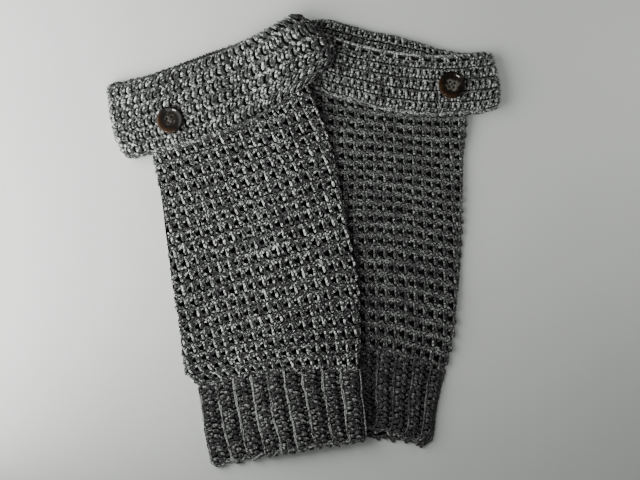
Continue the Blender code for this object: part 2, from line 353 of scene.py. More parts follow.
class Ring:
    """A ring of cloth pressed flat. Around runs 0 to 1, over the front and then the back."""

    def __init__(self, rows, height, ground, insets, lift=on_table, behind=own_back):
        self.table, self.height = RowTable(rows), height
        self.ground, self.insets, self.lift, self.behind = ground, insets, lift, behind

    def place(self, share, around, depth):
        """Metres of the shared frame, for points that lie depth below the outer side."""
        share, around, depth = np.broadcast_arrays(share, around, depth)
        left, middle, back_middle, right = self.table.at(share)
        width = np.linalg.norm(middle - left, axis=-1) + np.linalg.norm(right - middle, axis=-1)
        radius = self.height / 2
        left_inset, right_inset = self.insets(share)
        flat_width = width - 2 * radius - left_inset - right_inset
        arc = pi * radius
        s = (around % 1.0) * 2 * (flat_width + arc)
        # The front, the turn at its right, and the back. What is left is the turn at the left.
        parts = s < flat_width, s < flat_width + arc, s < 2 * flat_width + arc
        right_turn = pi / 2 - (s - flat_width) / radius
        left_turn = -pi / 2 - (s - 2 * flat_width - arc) / radius
        angle = np.select(parts, (pi / 2, right_turn, -pi / 2), left_turn)
        flat = np.select(parts, (s, flat_width, 2 * flat_width + arc - s), 0.0)
        reach = radius - depth
        along = ((radius + left_inset + flat + reach * np.cos(angle)) / width)[..., None]
        bow = 4 * along * (1 - along)
        shown = ((1 + np.sin(angle)) / 2)[..., None]
        point = (
            left * (1 - along) * (1 - 2 * along)
            + middle * bow
            + right * along * (2 * along - 1)
            + (back_middle - middle) * (1 - shown) * self.behind(along)
        )
        x, y = point[..., 0], point[..., 1]
        swell = 1 + SWELL * value_noise(x / 34 + 7, y / 29 + 3, 5)
        thickness = np.maximum((radius + reach * np.sin(angle)) * swell, LEAST_HEIGHT)
        z = self.ground(x, y) + self.lift(x, y) + thickness
        x = x + WANDER * value_noise(x / 17, y / 13, 8)
        y = y + WANDER * value_noise(x / 15 + 31, y / 16, 9)
        return np.stack(((x - ORIGIN[0]) * MM, (y - ORIGIN[1]) * MM, z * MM), -1)


# Strands and stitches

Template = namedtuple("Template", "points faces lengths turns tones point_strand face_strand")


def strand(path, radius, sides, tone):
    """A tube along a path of (x, y, z) in millimetres of flat cloth."""
    path = np.array(path, float)
    radius = np.broadcast_to(np.asarray(radius, float), (len(path),))
    ahead = np.gradient(path, axis=0)
    ahead /= np.linalg.norm(ahead, axis=1)[:, None]
    side = np.cross(ahead, (0.0, 0.0, 1.0))
    side /= np.maximum(np.linalg.norm(side, axis=1), 1e-6)[:, None]
    up = np.cross(side, ahead)
    angle = 2 * pi * np.arange(sides) / sides
    ring = side[:, None] * np.cos(angle)[:, None] + up[:, None] * np.sin(angle)[:, None]
    points = (path[:, None] + ring * radius[:, None, None]).reshape(-1, 3)
    run = np.concatenate(([0.0], np.cumsum(np.linalg.norm(np.diff(path, axis=0), axis=1))))
    i, k = (part.ravel() for part in np.mgrid[: len(path) - 1, :sides])
    a, n = i * sides, (k + 1) % sides
    faces = np.stack((a + k, a + n, a + sides + n, a + sides + k), 1)
    lengths = run[np.stack((i, i, i + 1, i + 1), 1)]
    turns = np.stack((k, k + 1, k + 1, k), 1) / sides
    zeros = np.zeros(len(points), int), np.zeros(len(faces), int)
    return Template(points, faces, lengths, turns, np.full(len(faces), tone), *zeros)


def starts_of(columns):
    """Where each of several arrays starts when they follow one another."""
    return np.concatenate(([0], np.cumsum([len(column) for column in columns])[:-1]))


def stitch(*strands):
    """Several strands as one stitch."""
    starts = starts_of([s.points for s in strands])
    numbered = [
        s._replace(
            faces=s.faces + start,
            lengths=s.lengths + 13.7 * n,
            point_strand=s.point_strand + n,
            face_strand=s.face_strand + n,
        )
        for n, (s, start) in enumerate(zip(strands, starts))
    ]
    return Template(*(np.concatenate(column) for column in zip(*numbered)))


def bent(steps, *points):
    """A soft path through the given points."""
    points = np.array(points, float)
    t = np.linspace(0, len(points) - 1, steps)
    i = np.clip(t.astype(int), 0, len(points) - 2)
    return soft_curve((t - i)[:, None], i, 1.0, points, np.gradient(points, axis=0))


def woven(cell, fine, rows):
    """Strands from rows of steps, radius, tone and points, whose y is a share of the cell's height."""
    strands = []
    for steps, radius, tone, *points in rows:
        path = bent(steps, *((x, share * cell[1], z) for x, share, z in points))
        strands.append(strand(path, radius, SIDES[fine], tone))
    return strands


def plump(steps, radius, ends):
    """Radii of a strand that is fuller in its middle. The ends are a share of the radius."""
    return radius * (ends + (1 - ends) * np.sin(pi * np.linspace(0, 1, steps)))


SIDES = (5, 6)  # of a strand on the back and on the finer front

# Width and height of one stitch of each kind, in millimetres
MESH_CELL = (8.9, 11.3)
BAND_CELL = (6.2, 11.0)
FULL_CELL = (7.4, 10.2)
WINDOW_CELL = (12.4, 7.6)
RIB_CELL = (16.2, 5.3)
EDGE_CELL = (6.0, 6.0)


def chain_loops(width, y, z, spread, radius, fine, steps, loops, tone):
    """A row-top chain: two strands that part and meet, loop after loop."""
    x = np.linspace(0, width, steps * loops + 1)
    part = np.abs(np.sin(pi * x * loops / width))
    front = np.stack((x, y - spread * part, z + 0.5 * part), 1)
    back = np.stack((x, y + 0.8 * spread * part + 0.3, z - 0.3 + 0.3 * part), 1)
    return strand(front, radius, SIDES[fine], tone), strand(back, radius, SIDES[fine], tone)


def mesh_stitch(fine, thick, wide):
    """One cell of the open mesh: a post between two holes, its trailing strand, and a chain above.

    The right leg warmer is stretched wider, so its holes show more.
    """
    width, height = MESH_CELL
    steps = 6 if fine else 4
    fullness = np.interp(np.linspace(0, 1, steps), (0, 0.35, 0.75, 1), (0.85, 0.95, 1.55, 1.1))
    post = (3.5, 0.97, 0.9), (3.8, 0.74, 1.5), (4.2, 0.50, 2.2), (4.5, 0.33, 2.1), (4.6, 0.20, 0.7)
    if wide:
        trail = (5.0, 0.95, 0.3), (5.7, 0.70, 0.6), (6.3, 0.44, 0.6), (6.9, 0.18, 0.0)
        post_tone, trail_tone, sill_tone, chain_tone, rise = 0.0, 0.0, 0.0, 0.1, 0.5
    else:
        trail = (5.0, 0.95, 0.5), (6.1, 0.72, 1.0), (7.1, 0.46, 0.9), (8.0, 0.20, 0.2)
        post_tone, trail_tone, sill_tone, chain_tone, rise = 0.2, -0.1, -0.06, -0.12, -0.1
    upright = woven(MESH_CELL, fine, (
        (steps, thick * fullness, post_tone, *post),
        (steps, 1.15 * thick, trail_tone, *trail),
        (4, 1.05 * thick, 0.02, (2.4, 0.92, 0.2), (1.0, 0.72, 0.9), (-0.9, 0.66, 0.2)),
        (4, 1.1 * thick, sill_tone, (-2.6, 0.13, -0.1), (-0.4, 0.24, 0.9), (2.2, 0.14, 0.0)),
    ))
    parts = 3 if fine else 2
    chain = chain_loops(width, 0.93 * height, rise, 1.3, 0.98 * thick, fine, parts, 2, chain_tone)
    return stitch(*upright, *chain)


def band_stitch(fine):
    """One dense stitch: a bright post beside a small hole, over two beads and under a bar."""
    steps = 5 if fine else 3
    strands = woven(BAND_CELL, fine, (
        (steps, 1.25, 0.2, (1.5, 0.28, 0.6), (1.6, 0.50, 2.0), (2.1, 0.78, 1.0)),
        (steps, 1.1, -0.05, (0.2, 0.28, 0.1), (-0.5, 0.50, 0.9), (0.2, 0.80, 0.5)),
        (steps, 1.25, 0.12, (0.5, 0.10, 0.2), (1.0, 0.17, 1.9), (1.5, 0.30, 0.5)),
        (steps, 1.25, 0.12, (3.6, 0.10, 0.2), (4.1, 0.17, 1.9), (4.6, 0.30, 0.5)),
        (steps, 1.05, 0.0, (-0.6, 0.78, 0.3), (1.4, 0.85, 1.3), (3.1, 0.79, 0.6)),
        (steps, 1.05, 0.0, (2.8, 0.80, 0.5), (4.4, 0.84, 1.1), (6.2, 0.78, 0.4)),
    ))
    return stitch(*strands)


def full_stitch(fine):
    """One fuller stitch of the left band: two leaning strands, two beads of the chain, and a foot."""
    steps = 5 if fine else 3
    radius = np.interp(np.linspace(0, 1, steps), (0, 0.3, 0.8, 1), (1.15, 1.35, 1.7, 1.35))
    broad = (6.0, 0.66, 0.5), (5.4, 0.50, 1.4), (4.8, 0.35, 1.3), (4.5, 0.25, 0.2)
    strands = woven(FULL_CELL, fine, (
        (steps, radius, 0.13, (3.4, 0.68, 0.6), (2.7, 0.52, 1.6), (2.0, 0.35, 1.7), (1.6, 0.23, 0.5)),
        (steps, 0.95 * radius, 0.0, *broad),
        (steps, 1.3, 0.08, (-0.4, 0.74, 0.2), (1.2, 0.86, 1.4), (2.9, 0.82, 0.3)),
        (steps, 1.3, -0.02, (3.2, 0.82, 0.3), (4.9, 0.95, 1.3), (6.6, 0.90, 0.3)),
        (3, 1.2, -0.02, (2.2, 0.06, 0.0), (3.9, 0.13, 0.8), (5.6, 0.06, 0.0)),
    ))
    return stitch(*strands)


def window_stitch(fine):
    """One window of the lace row under the fold: two posts, the chain that bridges them, and a
    strand behind them. That strand is darker as painted shade, and the chain paler as painted light."""
    width, height = WINDOW_CELL
    filler = (0.0, 0.86, 0.3), (3.1, 0.92, 0.9), (6.2, 0.84, 0.4), (9.3, 0.92, 0.9), (12.4, 0.86, 0.3)
    strands = woven(WINDOW_CELL, fine, (
        (5, 1.5, -0.2, (0.0, 0.26, -0.9), (6.2, 0.34, -0.7), (12.4, 0.26, -0.9)),
        (4, 1.15, 0.2, (-1.6, -0.2, 0.6), (-0.9, 0.1, 1.3), (-0.2, 0.5, 1.0)),
        (4, 1.1, 0.1, (2.6, -0.2, 0.5), (1.9, 0.1, 1.1), (1.2, 0.5, 0.8)),
        (7, 1.15, -0.02, *filler),
    ))
    return stitch(*strands, *chain_loops(width, 0.60 * height, 1.4, 0.5, 1.0, fine, 3, 3, 0.35))


def rib_line(fine, tone):
    """One step of the light chain line between two ribs."""
    height = RIB_CELL[1]
    y = np.linspace(0, height, 4)
    part = np.abs(np.sin(pi * y / height))
    first = np.stack((0.2 - 0.45 * part, y, 2.6 + 0.3 * part), 1)
    second = np.stack((0.5 + 0.35 * part, y + 0.5, 2.4 + 0.2 * part), 1)
    return stitch(strand(first, 0.66, SIDES[fine], tone), strand(second, 0.6, SIDES[fine], tone))


def rib_stitch(fine):
    """One step of a rib: three round stitches side by side, each half a step off its neighbour."""
    steps = 4 if fine else 3
    strands = []
    for x, share, z, slant, radius, tone in (
        (3.8, 0.25, 1.4, 0.8, 2.2, 0.04),
        (9.0, 0.75, 1.2, -0.9, 2.15, 0.0),
        (13.8, 0.30, 0.5, 0.8, 1.95, -0.12),
    ):
        y = share * RIB_CELL[1]
        for above in (0.9, -0.9):
            start = (x - 2.4, y + above - slant, z - 0.9)
            end = (x + 2.4, y + 0.4 * above + slant, z - 0.9)
            path = bent(steps, start, (x, y + above, z), end)
            fullness = plump(steps, 0.66 * radius, 0.75)
            strands.append(strand(path, fullness, SIDES[fine], tone + 0.05 * above))
    return stitch(*strands)


def edge_loops(fine, thick, tone):
    """The chain along a free edge."""
    return stitch(*chain_loops(EDGE_CELL[0], 1.6, 0.9, 1.0, 1.1 * thick, fine, 4, 1, tone))


def grid(columns, rows):
    """Every (column, row)."""
    across, up = np.meshgrid(np.arange(*columns), np.arange(*rows))
    return np.stack((across.ravel(), up.ravel()), 1)


# How much the yarn's tone changes from strand to strand, from face to face and from place to place
STRAND_TONES, FACE_TONES, PLACE_TONES = 0.12, 0.1, 0.045
SWAY = 1.6  # how much further whole stitches stray together than single strands do


def repeat(template, cell, cells, to_cloth, seed, jitter=0.35, shade=0.0):
    """The stitch at every (column, row) of cells, as one set of points, faces and yarn coordinates.

    to_cloth turns whole-stitch coordinates and a height into metres of the shared frame. The shade
    is a number for each cell that makes its yarn paler or darker: painted light and shade, and on
    the rib lines random fading as well.
    """
    rng = np.random.default_rng(seed)
    count, strands = len(cells), template.point_strand.max() + 1
    u = cells[:, :1] + template.points[:, 0] / cell[0]
    v = cells[:, 1:] + template.points[:, 1] / cell[1]
    height = np.broadcast_to(template.points[:, 2], u.shape)
    nudge = rng.uniform(-jitter, jitter, (count, strands, 3))[:, template.point_strand]
    u = u + (nudge[..., 0] + SWAY * jitter * value_noise(u * 0.55, v * 0.45, seed)) / cell[0]
    v = v + (nudge[..., 1] + SWAY * jitter * value_noise(u * 0.5 + 9, v * 0.5, seed + 1)) / cell[1]
    height = height + 0.5 * nudge[..., 2]
    faces = template.faces[None] + u.shape[1] * np.arange(count)[:, None, None]
    lengths = template.lengths[None] + rng.uniform(0, 400, count)[:, None, None]
    turns = np.broadcast_to(template.turns[None], lengths.shape)
    turns = turns + rng.uniform(0, 1, count)[:, None, None]
    strand_tones = rng.uniform(-STRAND_TONES, STRAND_TONES, (count, strands))
    tones = template.tones + strand_tones[:, template.face_strand]
    tones = tones + rng.uniform(-FACE_TONES, FACE_TONES, tones.shape)
    drift = PLACE_TONES * value_noise(cells[:, 0] * 0.9, cells[:, 1] * 0.37 + 5, seed + 2)
    tones = tones + (drift + shade)[:, None]
    corners = (values.reshape(-1, 4) for values in (faces, lengths, turns))
    return to_cloth(u, v, height).reshape(-1, 3), *corners, tones.ravel()


def fill(collection, key, values, kind=np.float32):
    collection.foreach_set(key, np.asarray(values, kind).ravel())


def close_mesh(shape, mesh):
    """Writes a bmesh into the mesh, with its faces turned outwards."""
    bmesh.ops.recalc_face_normals(shape, faces=shape.faces)
    shape.to_mesh(mesh)
    shape.free()


def add_object(name, data):
    found = bpy.data.objects.new(name, data)
    bpy.context.scene.collection.objects.link(found)
    return found


def add_piece(name, mesh, material, slot):
    mesh.materials.append(material)
    piece = add_object(name, mesh)
    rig.ride(piece, "root")
    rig.slot(piece, slot)
    return piece


def mesh_piece(name, parts, material, slot):
    """One object from several sets of repeated stitches."""
    starts = starts_of([part[0] for part in parts])
    points, _, lengths, turns, tones = (np.concatenate(column) for column in zip(*parts))
    faces = np.concatenate([part[1] + start for part, start in zip(parts, starts)])
    mesh = bpy.data.meshes.new(name)
    mesh.vertices.add(len(points))
    fill(mesh.vertices, "co", points)
    mesh.loops.add(faces.size)
    fill(mesh.loops, "vertex_index", faces, np.int32)
    mesh.polygons.add(len(faces))
    fill(mesh.polygons, "loop_start", np.arange(0, faces.size, 4), np.int32)
    mesh.update(calc_edges=True)
    fill(mesh.polygons, "use_smooth", np.ones(len(faces)), bool)
    fill(mesh.uv_layers.new(name="Yarn").uv, "vector", np.stack((lengths, turns), -1))
    fill(mesh.attributes.new("tone", "FLOAT", "FACE").data, "value", tones)
    return add_piece(name, mesh, material, slot)


# Materials


class Nodes:
    """Short ways to add and link the nodes of one material."""

    def __init__(self, name):
        self.material = bpy.data.materials.new(name)
        self.material.use_nodes = True
        self.tree = self.material.node_tree

    def feed(self, node, values):
        """Links or sets the sockets of a node, by their names or numbers."""
        for key, value in values.items():
            if isinstance(value, bpy.types.NodeSocket):
                self.tree.links.new(value, node.inputs[key])
            else:
                node.inputs[key].default_value = value

    def add(self, kind, values, output=0, **settings):
        """One output of a new node, by its name or number."""
        node = self.tree.nodes.new(f"ShaderNode{kind}")
        for key, value in settings.items():
            setattr(node, key, value)
        self.feed(node, values)
        return node.outputs[output]

    def maths(self, operation, *values):
        return self.add("Math", dict(enumerate(values)), operation=operation)

    def times(self, first, second):
        return self.maths("MULTIPLY", first, second)

    def plus(self, first, second):
        return self.maths("ADD", first, second)

    def attribute(self, name):
        return self.add("Attribute", {}, "Fac", attribute_name=name)

    def noise(self, scale, detail, distortion=0.0):
        """Noise over the object's own space."""
        values = {"Scale": scale, "Detail": detail, "Distortion": distortion}
        return self.add("TexNoise", {"Vector": self.add("TexCoord", {}, "Object"), **values}, "Fac")

    def ramp(self, source, stops, brightness=1.0):
        """A colour ramp through the stops, all brighter by one factor."""
        colour = self.add("ValToRGB", {0: source})
        elements = colour.node.color_ramp.elements
        while len(elements) < len(stops):
            elements.new(0.5)
        for element, (place, parts) in zip(elements, stops):
            element.position = place
            element.color = (*(brightness * part for part in parts), 1.0)
        return colour

    def bump(self, height, strength, distance):
        return self.add("Bump", {"Height": height, "Strength": strength, "Distance": distance})

    def finish(self, values):
        """Links and sets the shader's own sockets."""
        self.feed(self.tree.nodes["Principled BSDF"], values)
        return self.material


# Millimetres of yarn that one ply takes, and how many plies are twisted together
PLY_LENGTH, PLIES = 2.6, 3.0
# Near-black stops of the painted shade between the strands
PAINTED_SHADE_STOPS = ((0.35, (0.0006, 0.0007, 0.0006)), (0.7, (0.004, 0.0044, 0.004)))
# A ramp from dark horn up to the pale grey of the painted reflection
HORN_STOPS = (
    (0.24, (0.003, 0.0027, 0.002)),
    (0.42, (0.0045, 0.0036, 0.0027)),
    (0.58, (0.013, 0.0095, 0.0065)),
    (0.9, (0.16, 0.15, 0.13)),
)
# The colour of the painted glow of light through the horn's rim
AMBER = (0.065, 0.034, 0.014, 1.0)
FLOOR_STOPS = ((0.3, (0.735, 0.765, 0.722)), (0.7, (0.76, 0.79, 0.747)))


def marled_wool(name, brightness, contrast, flecks):
    """Plied yarn of dark, grey and pale plies twisted together, with a fibre bump."""
    n = Nodes(name)
    length = n.add("SeparateXYZ", {0: n.add("UVMap", {}, uv_map="Yarn")})
    turn = n.times(length.node.outputs[1], PLIES)
    twist = n.plus(n.times(length, 1 / PLY_LENGTH), turn)
    # Each ply has a tone of its own, which changes slowly along the yarn.
    ply = n.times(n.maths("FLOOR", twist), 7.31)
    ply = n.add("CombineXYZ", {0: ply, 1: n.times(length, 0.42)})
    marl = n.add("TexNoise", {"Vector": ply, "Scale": 1.0, "Detail": 1.0}, "Fac", noise_dimensions="2D")
    fibres = n.noise(900.0, 1.0)
    speckle = n.times(n.maths("SUBTRACT", fibres, 0.5), flecks)
    value = n.plus(n.times(marl, 0.8), speckle)
    # The tone attribute adds each strand's own and random tones, and the painted light and shade of its cell.
    tone = n.times(n.attribute("tone"), 0.35)
    value = n.plus(n.plus(value, 0.10), tone)
    top = 0.20 + 0.50 * contrast
    stops = (
        (0.38, (0.007, 0.008, 0.0073)),
        (0.48, (0.040, 0.044, 0.040)),
        (0.57, (0.14, 0.15, 0.138)),
        (0.68, (top, 1.05 * top, 0.98 * top)),
    )
    groove = n.maths("ABSOLUTE", n.maths("SUBTRACT", n.maths("FRACT", twist), 0.5))
    relief = n.plus(n.times(groove, -2.0), n.times(fibres, 0.8))
    return n.finish({
        "Base Color": n.ramp(value, stops, brightness),
        "Normal": n.bump(relief, 0.8, 0.0006),
        "Roughness": 0.75, "Sheen Weight": 0.25, "Sheen Roughness": 0.6, "Specular IOR Level": 0.25,
    })


def painted_shade_wool(name, brightness):
    """Near-black cloth that shows between the strands, as painted shade."""
    n = Nodes(name)
    noise = n.noise(420.0, 3.0)
    return n.finish({
        "Base Color": n.ramp(noise, PAINTED_SHADE_STOPS, brightness),
        "Normal": n.bump(noise, 0.6, 0.0008),
        "Roughness": 1.0, "Specular IOR Level": 0.0,
    })


def horn(name):
    """Polished dark horn with random mottling, paler in its dished middle as a painted reflection, and warmer on the
    rim's lower-left side as a painted glow of light through it.
    """
    n = Nodes(name)
    clouds = n.noise(130.0, 4.0, 1.4)
    painted_glow_factor = n.times(n.attribute("amber"), n.times(clouds, 1.3))
    pale_value = n.plus(n.times(clouds, 0.8), n.attribute("haze"))
    mixed = {0: painted_glow_factor, 6: n.ramp(pale_value, HORN_STOPS), 7: AMBER}
    return n.finish({
        "Base Color": n.add("Mix", mixed, 2, data_type="RGBA"),
        "Roughness": 0.35, "Specular IOR Level": 0.1, "Coat Weight": 0.2, "Coat Roughness": 0.03,
    })


def pale_floor(name):
    n = Nodes(name)
    colour = n.ramp(n.add("TexNoise", {"Scale": 60.0}, "Fac"), FLOOR_STOPS)
    return n.finish({"Base Color": colour, "Roughness": 0.9, "Specular IOR Level": 0.1})


# The brightness, contrast and flecks of each wool, and the brightness of the painted-shade cloth behind it.
# All six are one yarn: their differences in brightness and contrast are painted light and shade, the cuffs
# darker as shade among the ribs and the right leg warmer with less contrast, as in softer light and in the
# left one's shadow.
LOOKS = {
    "left_band": (0.9, 1.3, 0.48, 3.5),
    "left_leg": (0.78, 1.6, 0.34, 1.0),
    "left_cuff": (0.32, 1.9, 0.4, 2.3),
    "right_band": (1.0, 0.8, 0.32, 4.0),
    "right_leg": (0.88, 0.45, 0.35, 2.8),
    "right_cuff": (0.45, 0.4, 0.35, 2.8),
}
WOOL = {part: marled_wool(f"wool_{part}", *look[:3]) for part, look in LOOKS.items()}
# The cloth under each part's stitches, near-black as painted shade
PAINTED_SHADE_CLOTH = {part: painted_shade_wool(f"dark_{part}", look[3]) for part, look in LOOKS.items()}
HORN = horn("horn")


# The cloth

# The slot and the CAD node of each part of a leg warmer
CLOTH = {
    "leg": ("mesh_wool", "leg_tube"),
    "band": ("band_wool", "top_band"),
    "cuff": ("rib_wool", "rib_cuff"),
}

# Where the points of each dark wall lie around it
WALL_STEPS = 96
WALL_TURNS = (np.arange(WALL_STEPS) / WALL_STEPS)[None, :]

Part = namedtuple("Part", "name columns fine")


def front_and_back(count, overlap):
    """The columns of the front, which reaches past both sides, and of the plainer back."""
    half = count // 2
    front = Part("front", (-overlap, half + overlap), True)
    return front, Part("back", (half + overlap, count - overlap), False)


def wall_piece(side, part, outer, inner):
    """A closed wall between two layers of points: (rows, around, 3)."""
    slot, node = CLOTH[part]
    name = f"{side.name}_{part}"
    points = np.concatenate((outer, inner[::-1]))
    index = np.arange(points[..., 0].size).reshape(points.shape[:2])
    following = np.roll(index, -1, axis=0)
    faces = np.stack((index, np.roll(index, -1, 1), np.roll(following, -1, 1), following), -1)
    mesh = bpy.data.meshes.new(f"{name}_base")
    mesh.from_pydata(points.reshape(-1, 3).tolist(), [], faces.reshape(-1, 4).tolist())
    shape = bmesh.new()
    shape.from_mesh(mesh)
    close_mesh(shape, mesh)
    mesh.shade_smooth()
    piece = add_piece(f"{name}_base", mesh, PAINTED_SHADE_CLOTH[name], slot)
    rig.replaces(piece, f"{side.name}_{node}")
    return piece


def stitch_piece(side, part, end, found):
    name = f"{side.name}_{part}"
    return mesh_piece(f"{name}_stitches_{end}", found, WOOL[name], CLOTH[part][0])


Corners = namedtuple("Corners", "left right fuller")


def round_corners(length, corners, extra=0.0):
    """How far the sides draw in towards the lower end, over the given length, in millimetres.

    Above it, the left side bulges by the fuller length.
    """

    def insets(share):
        near = 1 - smooth_step(share / length)
        return extra + corners.left * near - corners.fuller * (1 - near), extra + corners.right * near

    return insets


def leg_base(side):
    """The cloth of the tube under its stitches, up to and under the band, near-black as painted shade."""
    tube_insets = round_corners(0.08, side.corners, 1.2)
    tube = Ring(side.tube, TUBE_HEIGHT, side.ground, tube_insets, lift_below(side.hem))
    shares = np.linspace(0.004, 0.985, 30)
    hidden, left, right = np.array(side.hidden, float).T

    def hidden_insets(share):
        return np.interp(share, hidden, left), np.interp(share, hidden, right)

    top = Ring(side.band, BAND_HEIGHT, side.ground, hidden_insets, behind=side.band_back)

    def layer(depth):
        below = tube.place(shares[:, None], WALL_TURNS, depth)
        above = top.place(hidden[:, None], WALL_TURNS, BAND_LIFT + depth)
        return np.concatenate((below, above))

    return wall_piece(side, "leg", layer(YARN_DEPTH - 0.3), layer(TUBE_WALL))


CORNER = 6.5
HEM_PRESS, HEM_PRESS_REACH = 1.3, 10.0
BAND_FOOT, UNDER_HEM = 1.0, 2.4  # how deep the stitches and the loops under the hem lie

# Where the lace row starts along the cloth, and the stretch of it that is closed
WINDOWS_FROM = 57.2
CLOSED_AT, CLOSED_REACH = 0.455, 0.055


def left_bend(around, run):
    """The rows of the left band rise towards its right end."""
    along = 1 - np.abs(1 - 2 * (around % 1.0))
    return 7.7 * smooth_step((along - 0.15) / 0.8) * (0.3 + 0.7 * np.clip(run / BAND_DEPTH, 0, 1))


def no_bend(around, run):
    return 0.0 * run


def corner_insets(share):
    """The bands' top corners are round."""
    into = np.clip((share - 1 + CORNER / BAND_DEPTH) * BAND_DEPTH / CORNER, 0.0, 0.98)
    inset = CORNER * (1 - np.sqrt(1 - into * into))
    return inset, inset


def fuller_corner_insets(share):
    """The left band is a little wider at its left."""
    left, right = corner_insets(share)
    return left - 3.4, right


def band_profile(run, height):
    """(share, depth) of points that lie height above the band's cloth, run along it from the hem."""
    start = BAND_DEPTH - FOLD_RADIUS
    middle = FOLD_RADIUS - 1.0
    turn = np.clip((run - start) / middle, 0, pi)
    beyond = np.maximum(run - start - pi * middle, 0.0)
    below = np.minimum(run, start)
    reach = middle + height - HEM_PRESS * (1 - smooth_step(run / HEM_PRESS_REACH))
    share = (below + reach * np.sin(turn) - beyond) / BAND_DEPTH
    return share, FOLD_RADIUS - reach * np.cos(turn)


def band_base(side):
    """The cloth of the band under its stitches, from its hem over the fold and down inside, near-black as painted
    shade.
    """
    ring = Ring(side.band, BAND_HEIGHT, side.ground, side.band_insets, behind=side.band_back)
    run = np.concatenate((np.linspace(2, 60, 24), np.linspace(61, 72, 12), np.linspace(76, 100, 6)))

    def layer(height):
        share, depth = band_profile(run, height)
        return ring.place(share[:, None], WALL_TURNS, depth[:, None])

    return wall_piece(side, "band", layer(-0.6), layer(-1.4))


def left_cuff_insets(share):
    inset = 2.0 * (1 - smooth_step(share / 0.07))
    return inset, inset


def right_cuff_insets(share):
    """The right cuff bulges on its right side, with a round corner."""
    bulge = 5.0 * smooth_step((0.6 - share) / 0.45)
    return 2.0 * (1 - smooth_step(share / 0.07)), 5.5 * (1 - smooth_step(share / 0.12)) - bulge


def cuff_base(side):
    """The cloth of the cuff under its ribs, a little narrower than them, near-black as painted shade."""

    def inner_insets(share):
        return [inset + 1.0 for inset in side.cuff_insets(share)]

    ring = Ring(side.cuff, CUFF_HEIGHT, side.ground, inner_insets, behind=side.cuff_back)
    shares = np.linspace(0.03, 0.99, 16)[:, None]
    outer = ring.place(shares, WALL_TURNS, YARN_DEPTH - 0.2)
    inner = ring.place(shares, WALL_TURNS, CUFF_WALL)
    return wall_piece(side, "cuff", outer, inner)


LEFT_ONE_EDGE = edge_curve((LEFT_CUFF, LEFT_TUBE), 3)
# The lower leg warmer gets painted shade around this point
PAINTED_HOLLOW_SHADE_AT = (8.0, 141.0)  # where the upper leg warmer, its band and the lower one meet


def painted_shadow_of_left_one(ring, share, around):
    """Painted shadow on the lower leg warmer: darker beside the upper one's edge, and darker still where the two meet
    under the upper one's band.
    """
    points = ring.place(share, around, 0.0)
    x, y = points[:, 0] / MM + ORIGIN[0], points[:, 1] / MM + ORIGIN[1]
    near = 1 - smooth_step((x - np.interp(y, *LEFT_ONE_EDGE) - 1) / 15)
    hollow = 1 - smooth_step((np.hypot(x - PAINTED_HOLLOW_SHADE_AT[0], y - PAINTED_HOLLOW_SHADE_AT[1]) - 6) / 9)
    return -0.3 * near - 0.5 * hollow


MESH_DRIFT = -0.095  # columns of mesh that each row lies further left than the one below


def leg_stitches(side):
    """The open mesh of one leg, front and back."""
    corners, around, seed = round_corners(1.7, side.corners), side.columns, side.seed
    ring = Ring(side.rows, TUBE_HEIGHT, side.ground, corners, lift_below(side.hem))

    def to_cloth(u, v, height):
        return ring.place(v, (u + MESH_DRIFT * v) / around, YARN_DEPTH - height)

    for part in front_and_back(around, 2):
        cells = grid(part.columns, (0, side.row_count))
        edge = grid(part.columns, (0, 1))
        shade, jitter = 0.0, 0.5
        # On the right leg warmer the shade is painted: the left one's shadow, and rows paler towards the top and
        # darker towards the bottom as painted light.
        if side.stretched:
            shade = painted_shadow_of_left_one(ring, cells[:, 1] + 0.5, (cells[:, 0] + 0.5) / around)
            shade, jitter = shade + 0.0035 * (cells[:, 1] - 9), 0.35
        form = mesh_stitch(part.fine, side.thick, side.stretched)
        fringe = chain_loops(MESH_CELL[0], 0.6, 0.2, 1.6, 1.1 * side.thick, part.fine, 3, 2, -0.08)
        found = [
            repeat(form, MESH_CELL, cells, to_cloth, seed, jitter, shade),
            repeat(stitch(*fringe), MESH_CELL, edge, to_cloth, seed + 3, 1.0),
        ]
        yield stitch_piece(side, "leg", part.name, found)


# The stitches under a button are pressed down within a radius, and less and less outside it
PRESS_RADIUS, PRESS_DEPTH, PRESS_SLOPE = 9.8, 2.0, 1.1


def press(points, place):
    """The stitches under a button are pressed down as far as its underside."""
    x = points[..., 0] / MM - (place[0] - ORIGIN[0])
    y = points[..., 1] / MM - (place[1] - ORIGIN[1])
    limit = BUTTON_LOW - PRESS_DEPTH + PRESS_SLOPE * np.maximum(np.hypot(x, y) - PRESS_RADIUS, 0)
    points[..., 2] = np.minimum(points[..., 2], limit * MM)
    return points


